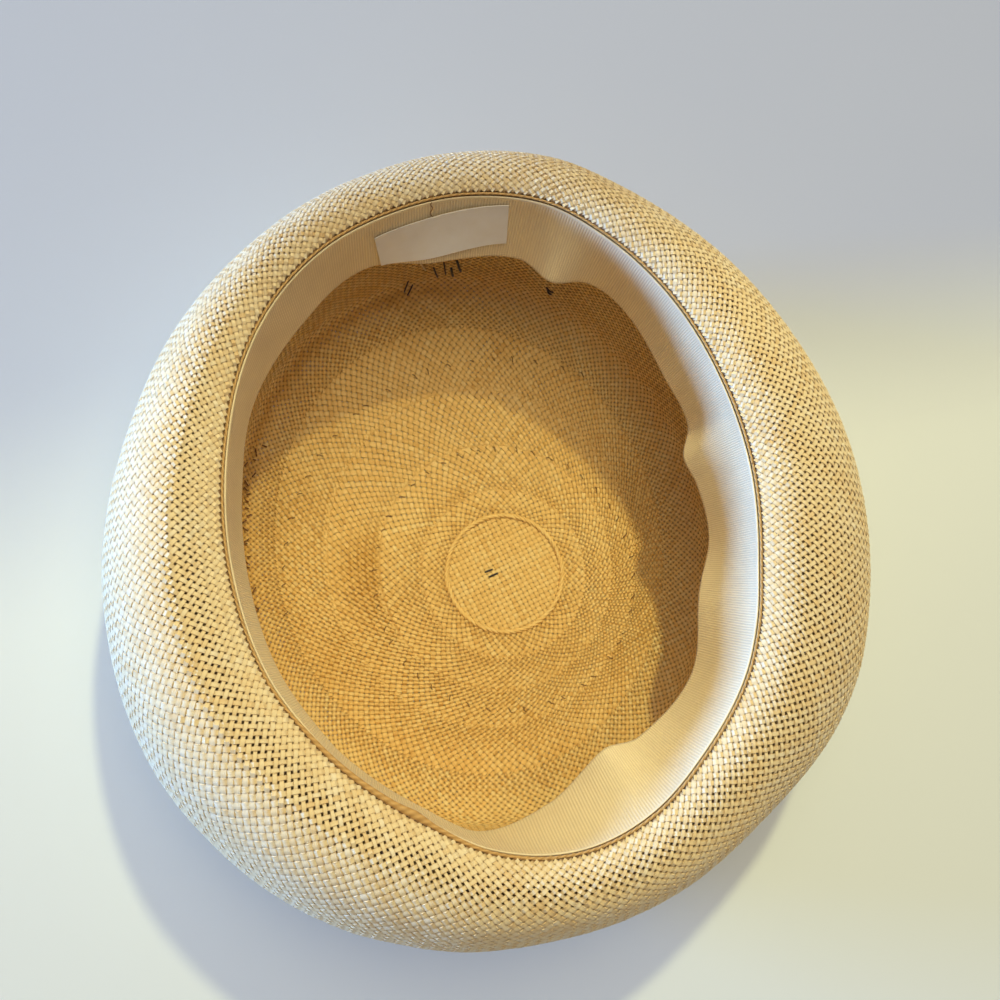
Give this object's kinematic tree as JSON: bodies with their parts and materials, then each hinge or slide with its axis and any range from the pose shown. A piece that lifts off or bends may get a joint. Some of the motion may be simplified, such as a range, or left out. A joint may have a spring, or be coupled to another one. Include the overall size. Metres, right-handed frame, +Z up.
{
  "type": "woven straw pillbox hat",
  "caption": "Oval pillbox hat of woven straw with a flat tip, a brim rolled out and back round the crown, and a ribbed ribbon sweatband inside the head opening.",
  "frame": {"origin": "centre of the overall box in plan, on the floor under the flat tip", "axes": "+Z up out of the head opening, as the hat lies on its tip; +Y towards the back of the hat, where the label is; +X to the wearer's right when it is worn"},
  "size_m": [0.2514, 0.2556, 0.0786],
  "materials": {
    "crown_straw": "natural golden straw, plain weave, satin",
    "brim_straw": "pale natural straw, open plain weave, satin",
    "ribbon": "ivory ribbon with fine cross ribs",
    "label": "white woven tape, plain"
  },
  "bodies": {
    "root": {"crown": "crown_straw", "brim": "brim_straw", "sweatband": "ribbon", "label": "label"}
  },
  "joints": []
}
